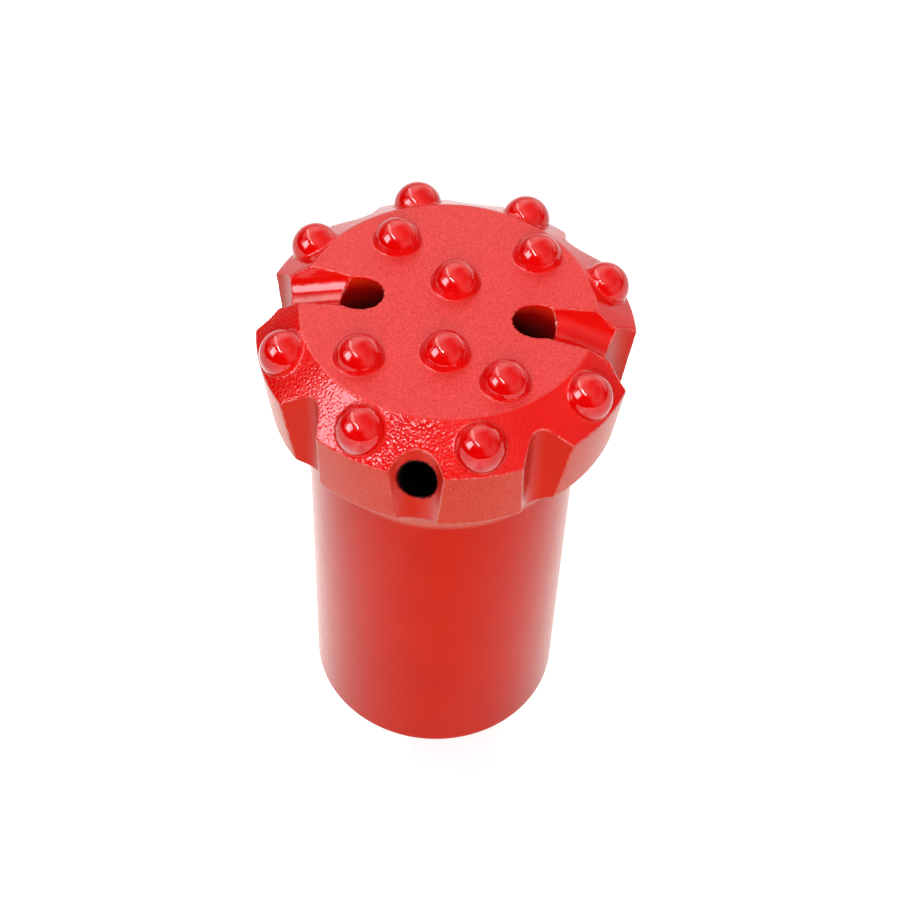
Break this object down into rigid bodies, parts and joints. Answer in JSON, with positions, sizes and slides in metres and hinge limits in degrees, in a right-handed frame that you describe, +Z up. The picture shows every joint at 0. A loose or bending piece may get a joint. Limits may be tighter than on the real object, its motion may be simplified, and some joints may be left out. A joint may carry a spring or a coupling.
{
  "type": "button drill bit",
  "caption": "Threaded button bit for top-hammer rock drilling: turned steel skirt, wide fluted head with domed carbide buttons, flushing holes and a rope-thread socket, painted red.",
  "frame": {"origin": "centre of the skirt's open end, in the plane that the bit stands on", "axes": "+Z up the bit's axis towards the cutting face; X and Y are the mirror lines of the gauge buttons, and the side flushing holes open along +Y and -Y"},
  "size_m": [0.1004, 0.101, 0.1635],
  "materials": {
    "painted_steel": "glossy red paint",
    "painted_carbide": "glossy red paint over ground carbide"
  },
  "bodies": {
    "root": {"bit_body": "painted_steel", "gauge_button_1": "painted_carbide", "gauge_button_2": "painted_carbide", "gauge_button_3": "painted_carbide", "gauge_button_4": "painted_carbide", "gauge_button_5": "painted_carbide", "gauge_button_6": "painted_carbide", "gauge_button_7": "painted_carbide", "gauge_button_8": "painted_carbide", "face_button_1": "painted_carbide", "face_button_2": "painted_carbide", "face_button_3": "painted_carbide", "face_button_4": "painted_carbide", "face_button_5": "painted_carbide", "face_button_6": "painted_carbide"}
  },
  "joints": []
}
